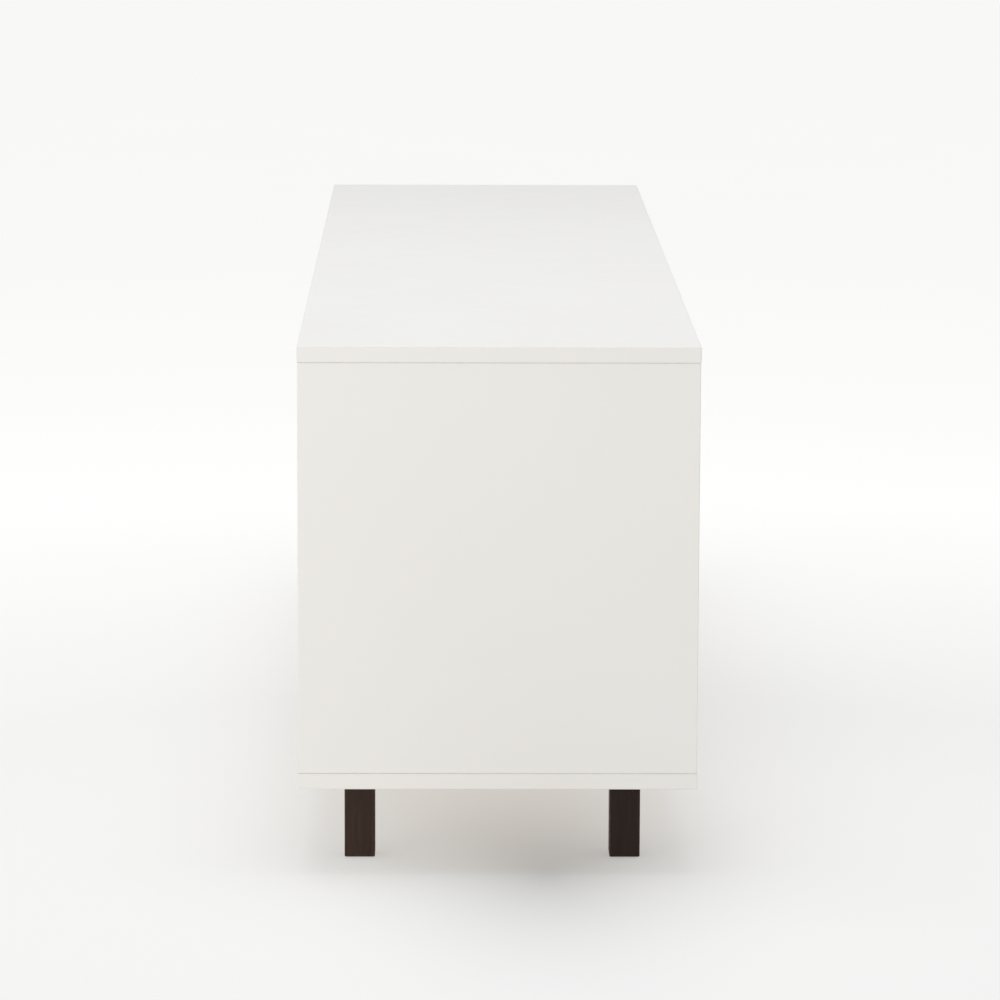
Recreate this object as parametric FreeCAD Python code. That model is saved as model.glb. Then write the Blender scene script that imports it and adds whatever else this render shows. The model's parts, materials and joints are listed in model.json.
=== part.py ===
import FreeCAD
import Part
import math
import os

# A long, low cabinet for a television: a lacquered carcass on five square legs, with an open bay in
# the middle and a bay behind an inset door at each end.
#
# Frame: X runs along the cabinet, the doors face -Y and Z is up. The origin is on the floor under the
# middle of the cabinet. Left and right are as seen by someone who faces the doors. Millimetres.

Vector = FreeCAD.Vector

# ---- Driving dimensions ----

LENGTH = 1600.0
DEPTH = 400.0
BODY_HEIGHT = 447.0
CLEAR_UNDER_BODY = 89.0
BOARD = 16.0
PANEL_INSET = 0.5
EDGE_EASE = 1.0

DOOR_GAP = 2.5
PIVOT_FROM_DOOR_EDGE = 12.0

LEG_WIDTH = 31.0
LEG_EASE = 1.5
LEG_FROM_END = 75.0
LEG_FROM_FRONT = 54.0
LEG_FROM_BACK = 45.0

BACK_THICKNESS = 3.0
BACK_FROM_REAR = 12.0
GROOVE_DEPTH = 6.0
GROOVE_SLACK = 0.5

# ---- Levels and lines that follow from them ----

UNDERSIDE = CLEAR_UNDER_BODY
BAY_FLOOR = UNDERSIDE + BOARD
TOP = UNDERSIDE + BODY_HEIGHT
BAY_CEILING = TOP - BOARD

HALF_LENGTH = LENGTH / 2
HALF_DEPTH = DEPTH / 2
PANEL_END = HALF_LENGTH - PANEL_INSET
INNER_END = PANEL_END - BOARD
PANEL_FRONT = -HALF_DEPTH + PANEL_INSET
PANEL_REAR = HALF_DEPTH - PANEL_INSET

BAY_WIDTH = (2 * INNER_END - 2 * BOARD) / 3
DIVIDER_CENTRE = BAY_WIDTH / 2 + BOARD / 2
SIDE_CENTRE = INNER_END + BOARD / 2

BACK_FRONT_FACE = HALF_DEPTH - BACK_FROM_REAR - BACK_THICKNESS
BACK_REAR_FACE = BACK_FRONT_FACE + BACK_THICKNESS

# Which way each side lies along X
SIDES = {"left": -1, "right": 1}

# Each bay's inner faces along X
BAYS = {
    "left": (-INNER_END, -INNER_END + BAY_WIDTH),
    "middle": (-BAY_WIDTH / 2, BAY_WIDTH / 2),
    "right": (INNER_END - BAY_WIDTH, INNER_END),
}

# Each upright's centre along X, and which way the face with its fittings looks. The dividers' fittings
# look into the closed bays, where the doors hide them.
UPRIGHTS = {
    "side_panel_left": (-SIDE_CENTRE, 1),
    "side_panel_right": (SIDE_CENTRE, -1),
    "divider_left": (-DIVIDER_CENTRE, -1),
    "divider_right": (DIVIDER_CENTRE, 1),
}

# ---- Screw heads ----

DRIVE_LENGTH = 3.6
DRIVE_WIDTH = 0.9
DRIVE_DEPTH = 0.8
HEAD_ROUNDING = 1.1

# ---- Knock-down fittings ----

CAM_RADIUS = 7.5
CAM_DEPTH = 12.5
CAM_FROM_BOARD = 24.0
CAM_THROAT_RADIUS = 4.0
CAM_CROSS_LENGTH = 9.0
CAM_CROSS_WIDTH = 1.6
CAM_CROSS_DEPTH = 2.0
BOLT_THREAD_RADIUS = 2.5
BOLT_THREAD_LENGTH = 10.0
BOLT_SHAFT_RADIUS = 2.75
BOLT_NECK_RADIUS = 2.0
BOLT_NECK_LENGTH = 3.0
BOLT_HEAD_RADIUS = 3.5
BOLT_HEAD_LENGTH = 3.0
BOLT_HOLE_RADIUS = 4.0
DOWEL_RADIUS = 4.0
DOWEL_IN_BOARD = 10.0
DOWEL_IN_UPRIGHT = 20.0
DOWEL_SLACK = 0.5
DOWEL_CHAMFER = 1.0
FITTING_ROWS = (-150.0, 150.0)
DOWEL_ROWS = (-110.0, 110.0)

# ---- Shelves ----

SHELF_UNDERSIDE = BAY_FLOOR + 200.0
SHELF_END_GAP = 0.5
CLOSED_SHELF_FRONT = -165.0
OPEN_SHELF_FRONT = PANEL_FRONT + 10.0
SHELF_REAR = BACK_FRONT_FACE - 20.0
PIN_RADIUS = 2.5
PIN_IN_PANEL = 7.0
PIN_ROWS = (-130.0, 130.0)
PIN_HOLE_PITCH = 32.0
PIN_HOLES_EACH_WAY = 2
SPADE_LENGTH = 8.0
SPADE_WIDTH = 10.0
SPADE_THICKNESS = 1.6
SPADE_WEB = 2.4
SPADE_CORNER = 2.0

# ---- Cable holes in the backs ----

CABLE_HOLE_RADIUS = 30.0
CABLE_HOLE_LEVEL = BAY_FLOOR + 100.0
GROMMET_WALL = 3.0
GROMMET_RIM_WIDTH = 4.0
GROMMET_RIM = 1.5
GROMMET_ROUNDING = 0.6
GROMMET_TAIL = 1.5

# ---- Doors and their pivots ----

DOOR_FRONT = PANEL_FRONT
DOOR_REAR = DOOR_FRONT + BOARD
DOOR_BOTTOM = BAY_FLOOR + DOOR_GAP
DOOR_TOP = BAY_CEILING - DOOR_GAP
PIVOT_X = INNER_END - DOOR_GAP - PIVOT_FROM_DOOR_EDGE
PIVOT_Y = DOOR_FRONT + BOARD / 2
PIVOT_PIN_RADIUS = 2.5
PIVOT_CLEARANCE = 0.05
PIVOT_PIN_IN_BUSH = 8.0
BUSH_RADIUS = 5.0
BUSH_LENGTH = 10.0
BUSH_FLANGE_RADIUS = 7.0
BUSH_FLANGE = {"top": 1.0, "bottom": DOOR_GAP - 0.2}
PLATE_LENGTH = 36.0
PLATE_WIDTH = 12.0
PLATE_THICKNESS = 2.0
PLATE_FROM_DOOR_EDGE = 4.0
PLATE_SCREWS_FROM_PIVOT = (10.0, 22.0)
SCREW_SHANK_RADIUS = 1.5
SCREW_LENGTH = 16.0
SCREW_HEAD_RADIUS = 2.8
SCREW_HEAD_HEIGHT = 1.0

# ---- Push latches ----

LATCH_FROM_DOOR_EDGE = 45.0
LATCH_FRONT = -172.0
LATCH_LENGTH = 60.0
LATCH_WIDTH = 15.0
LATCH_HEIGHT = 19.0
LATCH_AXIS_DROP = 12.0
LATCH_BORE_RADIUS = 4.2
LATCH_BORE_LENGTH = 52.0
LUG_WIDTH = 8.0
LUG_LENGTH = 12.0
LUG_THICKNESS = 3.0
LUG_SCREW_RADIUS = 1.6
LUG_SCREW_IN_BOARD = 9.0
LUG_HEAD_RADIUS = 3.0
LUG_HEAD_HEIGHT = 1.6
STRIKE_RADIUS = 8.0
STRIKE_THICKNESS = 1.2
STRIKE_CHAMFER = 0.3
STRIKE_GAP = 0.3
MAGNET_RADIUS = 4.5
MAGNET_THICKNESS = 3.0
PLUNGER_RADIUS = 4.0
PLUNGER_LENGTH = 38.0
SPRING_WIRE_RADIUS = 0.4
SPRING_WIRE_SIDES = 8
SPRING_COIL_RADIUS = 3.2
SPRING_TURNS = 7

# ---- Legs ----

GLIDE_RADIUS = 9.0
GLIDE_HEIGHT = 1.0
GLIDE_NAIL_RADIUS = 1.5
GLIDE_NAIL_LENGTH = 14.0
LEG_PLATE_SIZE = 60.0
LEG_PLATE_THICKNESS = 2.5
LEG_PLATE_CORNER = 8.0
LEG_PLATE_SCREW_OFFSET = 23.0
LEG_SCREW_RADIUS = 2.0
LEG_SCREW_IN_BOARD = 11.0
LEG_SCREW_HEAD_RADIUS = 4.0
LEG_SCREW_HEAD_HEIGHT = 2.0
HANGER_RADIUS = 4.0
HANGER_IN_LEG = 30.0
HANGER_IN_BOARD = 9.0
LEG_TOP = UNDERSIDE - LEG_PLATE_THICKNESS
LEG_X = HALF_LENGTH - LEG_FROM_END - LEG_WIDTH / 2
FRONT_LEG_Y = -HALF_DEPTH + LEG_FROM_FRONT + LEG_WIDTH / 2
BACK_LEG_Y = HALF_DEPTH - LEG_FROM_BACK - LEG_WIDTH / 2

# Each leg's centre on the floor
LEGS = {
    "front_left": (-LEG_X, FRONT_LEG_Y),
    "front_right": (LEG_X, FRONT_LEG_Y),
    "back_left": (-LEG_X, BACK_LEG_Y),
    "back_right": (LEG_X, BACK_LEG_Y),
    "centre": (0.0, 0.0),
}

UP = Vector(0, 0, 1)
DOWN = Vector(0, 0, -1)
BACKWARDS = Vector(0, 1, 0)


# ---- Shapes that many pieces share ----


def block(x, y, z):
    """A block between the (low, high) limits along each axis."""
    return Part.makeBox(x[1] - x[0], y[1] - y[0], z[1] - z[0], Vector(x[0], y[0], z[0]))


def rod(radius, start, direction, length):
    """A round bar that begins at start and runs along direction."""
    return Part.makeCylinder(radius, length, start, direction)


def ring(outer_radius, inner_radius, start, direction, length):
    return rod(outer_radius, start, direction, length).cut(rod(inner_radius, start, direction, length))


def eased_block(x, y, z, ease=EDGE_EASE):
    """A block with every edge rounded."""
    solid = block(x, y, z)
    return solid.makeFillet(ease, solid.Edges)


def centred(centre, width):
    return (centre - width / 2, centre + width / 2)


def ordered(first, second):
    return (min(first, second), max(first, second))


def group(solids):
    """Identical separate pieces that share one node."""
    return Part.makeCompound(solids)


def rims_near(solid, centre, reach):
    """The round edges whose centre lies within reach of a point."""
    return [edge for edge in solid.Edges if (edge.CenterOfMass - centre).Length < reach]


def drive_cross(point, inward):
    """The cross for a screwdriver, from the centre of an upright screw's face inwards."""
    depth = ordered(point.z, point.z + inward.z * DRIVE_DEPTH)
    along_x = block(centred(point.x, DRIVE_LENGTH), centred(point.y, DRIVE_WIDTH), depth)
    along_y = block(centred(point.x, DRIVE_WIDTH), centred(point.y, DRIVE_LENGTH), depth)
    return along_x.fuse(along_y)


def pan_head(radius, start, outward, height):
    """A screw head that stands on the face at start, with a rounded rim and a cross."""
    face = start + outward * height
    head = rod(radius, start, outward, height)
    head = head.makeFillet(HEAD_ROUNDING, rims_near(head, face, height / 2))
    return head.cut(drive_cross(face, outward * -1))


# ---- Knock-down fittings: a cam in the upright draws a bolt that stands in the board ----


def board_ends():
    """The meeting of the uprights with each board: its level, and the way into the board."""
    return ((BAY_CEILING, UP), (BAY_FLOOR, DOWN))


def each_fitting(rows):
    """Every place for a fitting: the upright's name, the point on its end, and the way into the board."""
    for name, (centre, _) in UPRIGHTS.items():
        for level, into_board in board_ends():
            for row in rows:
                yield name, Vector(centre, row, level), into_board


def cam_start(name, end_point, into_board):
    """The centre of the cam's closed end, inside the upright."""
    facing = UPRIGHTS[name][1]
    surface = end_point + Vector(facing * BOARD / 2, 0, 0) - into_board * CAM_FROM_BOARD
    return surface - Vector(facing * CAM_DEPTH, 0, 0)


def cam_pocket(name, end_point, into_board):
    facing = UPRIGHTS[name][1]
    return rod(CAM_RADIUS, cam_start(name, end_point, into_board), Vector(facing, 0, 0), CAM_DEPTH)


def cam_lock(name, end_point, into_board):
    """A cast cam with a throat for the bolt's head and a cross for the screwdriver."""
    facing = UPRIGHTS[name][1]
    start = cam_start(name, end_point, into_board)
    cam = cam_pocket(name, end_point, into_board)
    centre = end_point - into_board * CAM_FROM_BOARD
    throat_start = centre - into_board * CAM_THROAT_RADIUS
    cam = cam.cut(rod(CAM_THROAT_RADIUS, throat_start, into_board, CAM_RADIUS * 2))
    outer = start.x + facing * CAM_DEPTH
    slot_x = ordered(outer, outer - facing * CAM_CROSS_DEPTH)
    across = centred(start.y, CAM_CROSS_LENGTH)
    upright = centred(start.z, CAM_CROSS_LENGTH)
    cross = block(slot_x, across, centred(start.z, CAM_CROSS_WIDTH))
    cross = cross.fuse(block(slot_x, centred(start.y, CAM_CROSS_WIDTH), upright))
    return cam.cut(cross)


def bolt_hole_in_upright(end_point, into_board):
    return rod(BOLT_HOLE_RADIUS, end_point, into_board * -1, CAM_FROM_BOARD)


def bolt_hole_in_board(end_point, into_board):
    return rod(BOLT_THREAD_RADIUS, end_point, into_board, BOLT_THREAD_LENGTH)


def cam_bolt(end_point, into_board):
    """A bolt that stands in the board, with a head for the cam at the end of its shaft."""
    back = into_board * -1
    thread = bolt_hole_in_board(end_point, into_board)
    neck = rod(BOLT_NECK_RADIUS, end_point, back, CAM_FROM_BOARD)
    shaft = rod(BOLT_SHAFT_RADIUS, end_point, back, CAM_FROM_BOARD - BOLT_HEAD_LENGTH - BOLT_NECK_LENGTH)
    head_start = end_point + back * (CAM_FROM_BOARD - BOLT_HEAD_LENGTH)
    return thread.fuse([neck, shaft, rod(BOLT_HEAD_RADIUS, head_start, back, BOLT_HEAD_LENGTH)])


def dowel(end_point, into_board, slack=0.0):
    """A dowel across the meeting, or with slack the hole that it sits in."""
    start = end_point - into_board * (DOWEL_IN_UPRIGHT + slack)
    return rod(DOWEL_RADIUS, start, into_board, DOWEL_IN_UPRIGHT + DOWEL_IN_BOARD + 2 * slack)


def chamfered_dowel(end_point, into_board):
    pin = dowel(end_point, into_board)
    rims = [edge for edge in pin.Edges if edge.BoundBox.ZLength < DOWEL_CHAMFER]
    return pin.makeChamfer(DOWEL_CHAMFER, rims)


def fitting_holes_in_board(into_board):
    """All the holes for bolts and dowels in the top board or the bottom board."""
    holes = []
    for _, end_point, way in each_fitting(FITTING_ROWS):
        if way == into_board:
            holes.append(bolt_hole_in_board(end_point, way))
    for _, end_point, way in each_fitting(DOWEL_ROWS):
        if way == into_board:
            holes.append(dowel(end_point, way, DOWEL_SLACK))
    return holes


# ---- Carcass ----


def back_groove(across, heights):
    """The groove that holds a back panel, as wide as the panel is thick."""
    return block(across, (BACK_FRONT_FACE, BACK_REAR_FACE), heights)


def pin_levels():
    steps = range(-PIN_HOLES_EACH_WAY, PIN_HOLES_EACH_WAY + 1)
    return [SHELF_UNDERSIDE - PIN_RADIUS + step * PIN_HOLE_PITCH for step in steps]


def pin_holes(face, into_panel):
    """Two columns of holes for shelf pins, in the panel face at x = face."""
    direction = Vector(into_panel, 0, 0)
    return [
        rod(PIN_RADIUS, Vector(face, row, level), direction, PIN_IN_PANEL)
        for row in PIN_ROWS
        for level in pin_levels()
    ]


def bay_faces(centre):
    """The faces of an upright that look into a bay, each with the way into the wood."""
    faces = []
    for low, high in BAYS.values():
        if abs(low - (centre + BOARD / 2)) < EDGE_EASE:
            faces.append((low, -1))
        if abs(high - (centre - BOARD / 2)) < EDGE_EASE:
            faces.append((high, 1))
    return faces


def upright(name):
    """A side panel or a divider, with its grooves, pin holes and fitting holes."""
    centre, _ = UPRIGHTS[name]
    panel = eased_block(centred(centre, BOARD), (PANEL_FRONT, PANEL_REAR), (BAY_FLOOR, BAY_CEILING))
    cutters = []
    for face, into_panel in bay_faces(centre):
        groove_x = ordered(face, face + into_panel * GROOVE_DEPTH)
        cutters.append(back_groove(groove_x, (BAY_FLOOR, BAY_CEILING)))
        cutters += pin_holes(face, into_panel)
    for owner, end_point, into_board in each_fitting(FITTING_ROWS):
        if owner == name:
            cutters.append(cam_pocket(name, end_point, into_board))
            cutters.append(bolt_hole_in_upright(end_point, into_board))
    for owner, end_point, into_board in each_fitting(DOWEL_ROWS):
        if owner == name:
            cutters.append(dowel(end_point, into_board, DOWEL_SLACK))
    return panel.cut(cutters)


def groove_run():
    """How far the boards' grooves run along X, stopping inside the side panels."""
    return (-INNER_END - GROOVE_DEPTH, INNER_END + GROOVE_DEPTH)


def top_board():
    board = eased_block((-HALF_LENGTH, HALF_LENGTH), (-HALF_DEPTH, HALF_DEPTH), (BAY_CEILING, TOP))
    cutters = [back_groove(groove_run(), (BAY_CEILING, BAY_CEILING + GROOVE_DEPTH))]
    cutters += fitting_holes_in_board(UP)
    cutters += [bush_hole(side, "top") for side in SIDES]
    cutters += [screw_hole for side in SIDES for screw_hole in latch_screw_shanks(side)]
    return board.cut(cutters)


def bottom_board():
    board = eased_block((-HALF_LENGTH, HALF_LENGTH), (-HALF_DEPTH, HALF_DEPTH), (UNDERSIDE, BAY_FLOOR))
    cutters = [back_groove(groove_run(), (BAY_FLOOR - GROOVE_DEPTH, BAY_FLOOR))]
    cutters += fitting_holes_in_board(DOWN)
    cutters += [bush_hole(side, "bottom") for side in SIDES]
    for place in LEGS:
        cutters.append(hanger_bolt(place))
        cutters += leg_screw_shanks(place)
    return board.cut(cutters)


def cable_point(bay):
    """The centre of a bay's cable hole, on the front face of its back panel."""
    low, high = BAYS[bay]
    return Vector((low + high) / 2, BACK_FRONT_FACE, CABLE_HOLE_LEVEL)


def back_panel(bay):
    low, high = BAYS[bay]
    reach = GROOVE_DEPTH - GROOVE_SLACK
    heights = (BAY_FLOOR - reach, BAY_CEILING + reach)
    panel = block((low - reach, high + reach), (BACK_FRONT_FACE, BACK_REAR_FACE), heights)
    return panel.cut(rod(CABLE_HOLE_RADIUS, cable_point(bay), BACKWARDS, BACK_THICKNESS))


def cable_grommet(bay):
    """A plastic ring that lines the cable hole, with a rim inside the bay."""
    centre = cable_point(bay)
    inner_radius = CABLE_HOLE_RADIUS - GROMMET_WALL
    rim_start = centre - BACKWARDS * GROMMET_RIM
    rim = ring(CABLE_HOLE_RADIUS + GROMMET_RIM_WIDTH, inner_radius, rim_start, BACKWARDS, GROMMET_RIM)
    barrel = ring(CABLE_HOLE_RADIUS, inner_radius, centre, BACKWARDS, BACK_THICKNESS + GROMMET_TAIL)
    grommet = rim.fuse(barrel).removeSplitter()
    return grommet.makeFillet(GROMMET_ROUNDING, rims_near(grommet, rim_start, GROMMET_RIM / 2))


# ---- Shelves ----


def shelf(bay):
    low, high = BAYS[bay]
    front = OPEN_SHELF_FRONT if bay == "middle" else CLOSED_SHELF_FRONT
    heights = (SHELF_UNDERSIDE, SHELF_UNDERSIDE + BOARD)
    return eased_block((low + SHELF_END_GAP, high - SHELF_END_GAP), (front, SHELF_REAR), heights)


def shelf_pin(face, out_of_panel, row):
    """A pin in the panel, and outside it an angle with a web, which the shelf lies on."""
    level = SHELF_UNDERSIDE - PIN_RADIUS
    pin = rod(PIN_RADIUS, Vector(face, row, level), Vector(-out_of_panel, 0, 0), PIN_IN_PANEL)
    tip = face + out_of_panel * SPADE_LENGTH
    inside = face + out_of_panel * SPADE_THICKNESS
    across = centred(row, SPADE_WIDTH)
    seat_underside = SHELF_UNDERSIDE - SPADE_THICKNESS
    seat = block(ordered(face, tip), across, (seat_underside, SHELF_UNDERSIDE))
    corners = [
        edge for edge in seat.Edges
        if abs(edge.CenterOfMass.x - tip) < SPADE_THICKNESS / 2 and edge.BoundBox.YLength < SPADE_THICKNESS / 2
    ]
    seat = seat.makeFillet(SPADE_CORNER, corners)
    upright_part = block(ordered(face, inside), across, centred(level, 2 * PIN_RADIUS))
    web_corners = [(face, level - PIN_RADIUS), (face, seat_underside), (tip - out_of_panel, seat_underside)]
    outline = [Vector(x, row - SPADE_WEB / 2, z) for x, z in web_corners + web_corners[:1]]
    web = Part.Face(Part.makePolygon(outline)).extrude(BACKWARDS * SPADE_WEB)
    return pin.fuse([seat, upright_part, web]).removeSplitter()


def shelf_pins():
    pins = []
    for low, high in BAYS.values():
        for row in PIN_ROWS:
            pins.append(shelf_pin(low, 1, row))
            pins.append(shelf_pin(high, -1, row))
    return group(pins)


# ---- Legs ----


def leg(place):
    x, y = LEGS[place]
    stick = eased_block(centred(x, LEG_WIDTH), centred(y, LEG_WIDTH), (GLIDE_HEIGHT, LEG_TOP), LEG_EASE)
    return stick.cut([hanger_bolt(place), glide_nail(place)])


def hanger_bolt(place):
    """The stud that runs from the leg through its plate into the bottom board."""
    x, y = LEGS[place]
    length = HANGER_IN_LEG + LEG_PLATE_THICKNESS + HANGER_IN_BOARD
    return rod(HANGER_RADIUS, Vector(x, y, LEG_TOP - HANGER_IN_LEG), UP, length)


def glide_nail(place):
    x, y = LEGS[place]
    return rod(GLIDE_NAIL_RADIUS, Vector(x, y, GLIDE_HEIGHT), UP, GLIDE_NAIL_LENGTH)


def glide(place):
    """A round foot with a nail; its lower rim is chamfered."""
    x, y = LEGS[place]
    chamfer = GLIDE_HEIGHT / 4
    rim = Part.makeCone(GLIDE_RADIUS - chamfer, GLIDE_RADIUS, chamfer, Vector(x, y, 0), UP)
    disc = rod(GLIDE_RADIUS, Vector(x, y, chamfer), UP, GLIDE_HEIGHT - chamfer)
    return rim.fuse([disc, glide_nail(place)]).removeSplitter()


def leg_screw_points(place):
    """The four screws' centres, on the lower face of the leg's plate."""
    x, y = LEGS[place]
    offsets = (-LEG_PLATE_SCREW_OFFSET, LEG_PLATE_SCREW_OFFSET)
    return [Vector(x + along, y + across, LEG_TOP) for along in offsets for across in offsets]


def leg_screw_shanks(place):
    length = LEG_PLATE_THICKNESS + LEG_SCREW_IN_BOARD
    return [rod(LEG_SCREW_RADIUS, point, UP, length) for point in leg_screw_points(place)]


def leg_plate(place):
    x, y = LEGS[place]
    across_x = centred(x, LEG_PLATE_SIZE)
    across_y = centred(y, LEG_PLATE_SIZE)
    plate = block(across_x, across_y, (LEG_TOP, UNDERSIDE))
    corners = [edge for edge in plate.Edges if abs(edge.tangentAt(edge.FirstParameter).z) > 0.5]
    plate = plate.makeFillet(LEG_PLATE_CORNER, corners)
    return plate.cut([hanger_bolt(place)] + leg_screw_shanks(place))


def leg_plate_screws():
    screws = []
    for place in LEGS:
        heads = [
            pan_head(LEG_SCREW_HEAD_RADIUS, point, DOWN, LEG_SCREW_HEAD_HEIGHT)
            for point in leg_screw_points(place)
        ]
        screws += [head.fuse(shank) for head, shank in zip(heads, leg_screw_shanks(place))]
    return group(screws)


# ---- Doors and their pivots ----


def pivot_end(side, end):
    """Where the pivot's axis crosses the board face: the point, and the way into the board."""
    level = BAY_CEILING if end == "top" else BAY_FLOOR
    into_board = UP if end == "top" else DOWN
    return Vector(SIDES[side] * PIVOT_X, PIVOT_Y, level), into_board


def bush_hole(side, end):
    point, into_board = pivot_end(side, end)
    return rod(BUSH_RADIUS, point, into_board, BUSH_LENGTH)


def pivot_bush(side, end):
    """A nylon bush with a flange; the lower flange is thicker and carries the door."""
    point, into_board = pivot_end(side, end)
    flange = rod(BUSH_FLANGE_RADIUS, point, into_board * -1, BUSH_FLANGE[end])
    body = bush_hole(side, end).fuse(flange)
    bore_start = point - into_board * BUSH_FLANGE[end]
    bore = rod(PIVOT_PIN_RADIUS + PIVOT_CLEARANCE, bore_start, into_board, BUSH_FLANGE[end] + BUSH_LENGTH)
    return body.cut(bore)


def plate_recess(side, end):
    """The pivot plate's outline, sunk flush into the door's upper or lower edge."""
    outer = SIDES[side] * (PIVOT_X + PIVOT_FROM_DOOR_EDGE - PLATE_FROM_DOOR_EDGE)
    along = ordered(outer, outer - SIDES[side] * PLATE_LENGTH)
    edge = DOOR_TOP if end == "top" else DOOR_BOTTOM
    inward = -PLATE_THICKNESS if end == "top" else PLATE_THICKNESS
    return block(along, centred(PIVOT_Y, PLATE_WIDTH), ordered(edge, edge + inward))


def plate_screw_points(side, end):
    """The centres of a pivot plate's two screw heads, level with the plate's face."""
    point, into_board = pivot_end(side, end)
    on_door = point - into_board * DOOR_GAP
    return [on_door + Vector(-SIDES[side] * offset, 0, 0) for offset in PLATE_SCREWS_FROM_PIVOT]


def plate_screw_holes(side, end):
    """The room that the two screws of a pivot plate fill, in the plate and in the door."""
    into_door = pivot_end(side, end)[1] * -1
    holes = []
    for point in plate_screw_points(side, end):
        head = rod(SCREW_HEAD_RADIUS, point, into_door, SCREW_HEAD_HEIGHT)
        holes.append(head.fuse(rod(SCREW_SHANK_RADIUS, point, into_door, SCREW_LENGTH)))
    return holes


def plate_screws(side, end):
    """The two screws of a pivot plate, flush with its face and standing in the door."""
    into_door = pivot_end(side, end)[1] * -1
    places = zip(plate_screw_holes(side, end), plate_screw_points(side, end))
    return [blank.cut(drive_cross(point, into_door)) for blank, point in places]


def pivot_plate(side, end):
    """A steel plate with the pin that the door turns on."""
    point, into_board = pivot_end(side, end)
    pin_start = point - into_board * (DOOR_GAP + PLATE_THICKNESS)
    pin_length = PLATE_THICKNESS + DOOR_GAP + PIVOT_PIN_IN_BUSH
    plate = plate_recess(side, end).cut(plate_screw_holes(side, end))
    return plate.fuse(rod(PIVOT_PIN_RADIUS, pin_start, into_board, pin_length))


def door(side):
    hinge_edge = SIDES[side] * (INNER_END - DOOR_GAP)
    free_edge = SIDES[side] * (INNER_END - BAY_WIDTH + DOOR_GAP)
    leaf = eased_block(ordered(hinge_edge, free_edge), (DOOR_FRONT, DOOR_REAR), (DOOR_BOTTOM, DOOR_TOP))
    cutters = []
    for end in ("top", "bottom"):
        cutters.append(plate_recess(side, end))
        cutters += plate_screw_holes(side, end)
    return leaf.cut(cutters)


def pivot_screws(side):
    return group(plate_screws(side, "top") + plate_screws(side, "bottom"))


# ---- Push latches: a sprung plunger with a magnet that holds a disc on the door ----


def latch_axis(side, y):
    """The point of the plunger's axis at the given y."""
    free_edge = INNER_END - BAY_WIDTH + DOOR_GAP
    return Vector(SIDES[side] * (free_edge + LATCH_FROM_DOOR_EDGE), y, BAY_CEILING - LATCH_AXIS_DROP)


def latch_strike(side):
    """A steel disc on the door's rear face, chamfered at its outer rim."""
    disc = rod(STRIKE_RADIUS, latch_axis(side, DOOR_REAR), BACKWARDS, STRIKE_THICKNESS)
    face = latch_axis(side, DOOR_REAR + STRIKE_THICKNESS)
    return disc.makeChamfer(STRIKE_CHAMFER, rims_near(disc, face, STRIKE_THICKNESS / 2))


def magnet_front():
    return DOOR_REAR + STRIKE_THICKNESS + STRIKE_GAP


def latch_magnet(side):
    return rod(MAGNET_RADIUS, latch_axis(side, magnet_front()), BACKWARDS, MAGNET_THICKNESS)


def latch_plunger(side):
    start = latch_axis(side, magnet_front() + MAGNET_THICKNESS)
    return rod(PLUNGER_RADIUS, start, BACKWARDS, PLUNGER_LENGTH)


def wire_section():
    """The spring wire's section as an even polygon, standing where the coil begins."""
    turns = [2 * math.pi * side / SPRING_WIRE_SIDES for side in range(SPRING_WIRE_SIDES + 1)]
    centre = Vector(SPRING_COIL_RADIUS, 0, 0)
    return Part.makePolygon(
        [centre + Vector(math.cos(turn), 0, math.sin(turn)) * SPRING_WIRE_RADIUS for turn in turns]
    )


def latch_spring(side):
    """A wire coil between the plunger and the closed end of the housing's bore."""
    plunger_end = magnet_front() + MAGNET_THICKNESS + PLUNGER_LENGTH
    first = plunger_end + SPRING_WIRE_RADIUS
    last = LATCH_FRONT + LATCH_BORE_LENGTH - SPRING_WIRE_RADIUS
    coil_length = last - first
    path = Part.makeHelix(coil_length / SPRING_TURNS, coil_length, SPRING_COIL_RADIUS)
    coil = Part.Wire(path).makePipeShell([wire_section()], True, True)
    coil.rotate(Vector(0, 0, 0), Vector(1, 0, 0), -90)
    coil.translate(latch_axis(side, first))
    return coil


def latch_lug_points(side):
    """The latch's two screws' centres, on the lower faces of its lugs."""
    middle = latch_axis(side, LATCH_FRONT + LATCH_LENGTH / 2)
    reach = (LATCH_WIDTH + LUG_WIDTH) / 2
    return [Vector(middle.x + way * reach, middle.y, BAY_CEILING - LUG_THICKNESS) for way in (-1, 1)]


def latch_screw_shanks(side):
    length = LUG_THICKNESS + LUG_SCREW_IN_BOARD
    return [rod(LUG_SCREW_RADIUS, point, UP, length) for point in latch_lug_points(side)]


def latch_housing(side):
    """A moulded barrel with a blind bore and two screw lugs, under the top board."""
    front = latch_axis(side, LATCH_FRONT)
    rear = LATCH_FRONT + LATCH_LENGTH
    barrel = block(
        centred(front.x, LATCH_WIDTH), (LATCH_FRONT, rear), (BAY_CEILING - LATCH_HEIGHT, BAY_CEILING)
    )
    lower_edges = [
        edge
        for edge in barrel.Edges
        if edge.BoundBox.ZMax < BAY_CEILING - LATCH_HEIGHT / 2 and edge.BoundBox.YLength > LATCH_LENGTH / 2
    ]
    barrel = barrel.makeFillet(LATCH_WIDTH / 5, lower_edges)
    lugs = block(
        centred(front.x, LATCH_WIDTH + 2 * LUG_WIDTH),
        centred(LATCH_FRONT + LATCH_LENGTH / 2, LUG_LENGTH),
        (BAY_CEILING - LUG_THICKNESS, BAY_CEILING),
    )
    bore = rod(LATCH_BORE_RADIUS, front, BACKWARDS, LATCH_BORE_LENGTH)
    return barrel.fuse(lugs).cut([bore] + latch_screw_shanks(side)).removeSplitter()


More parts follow.
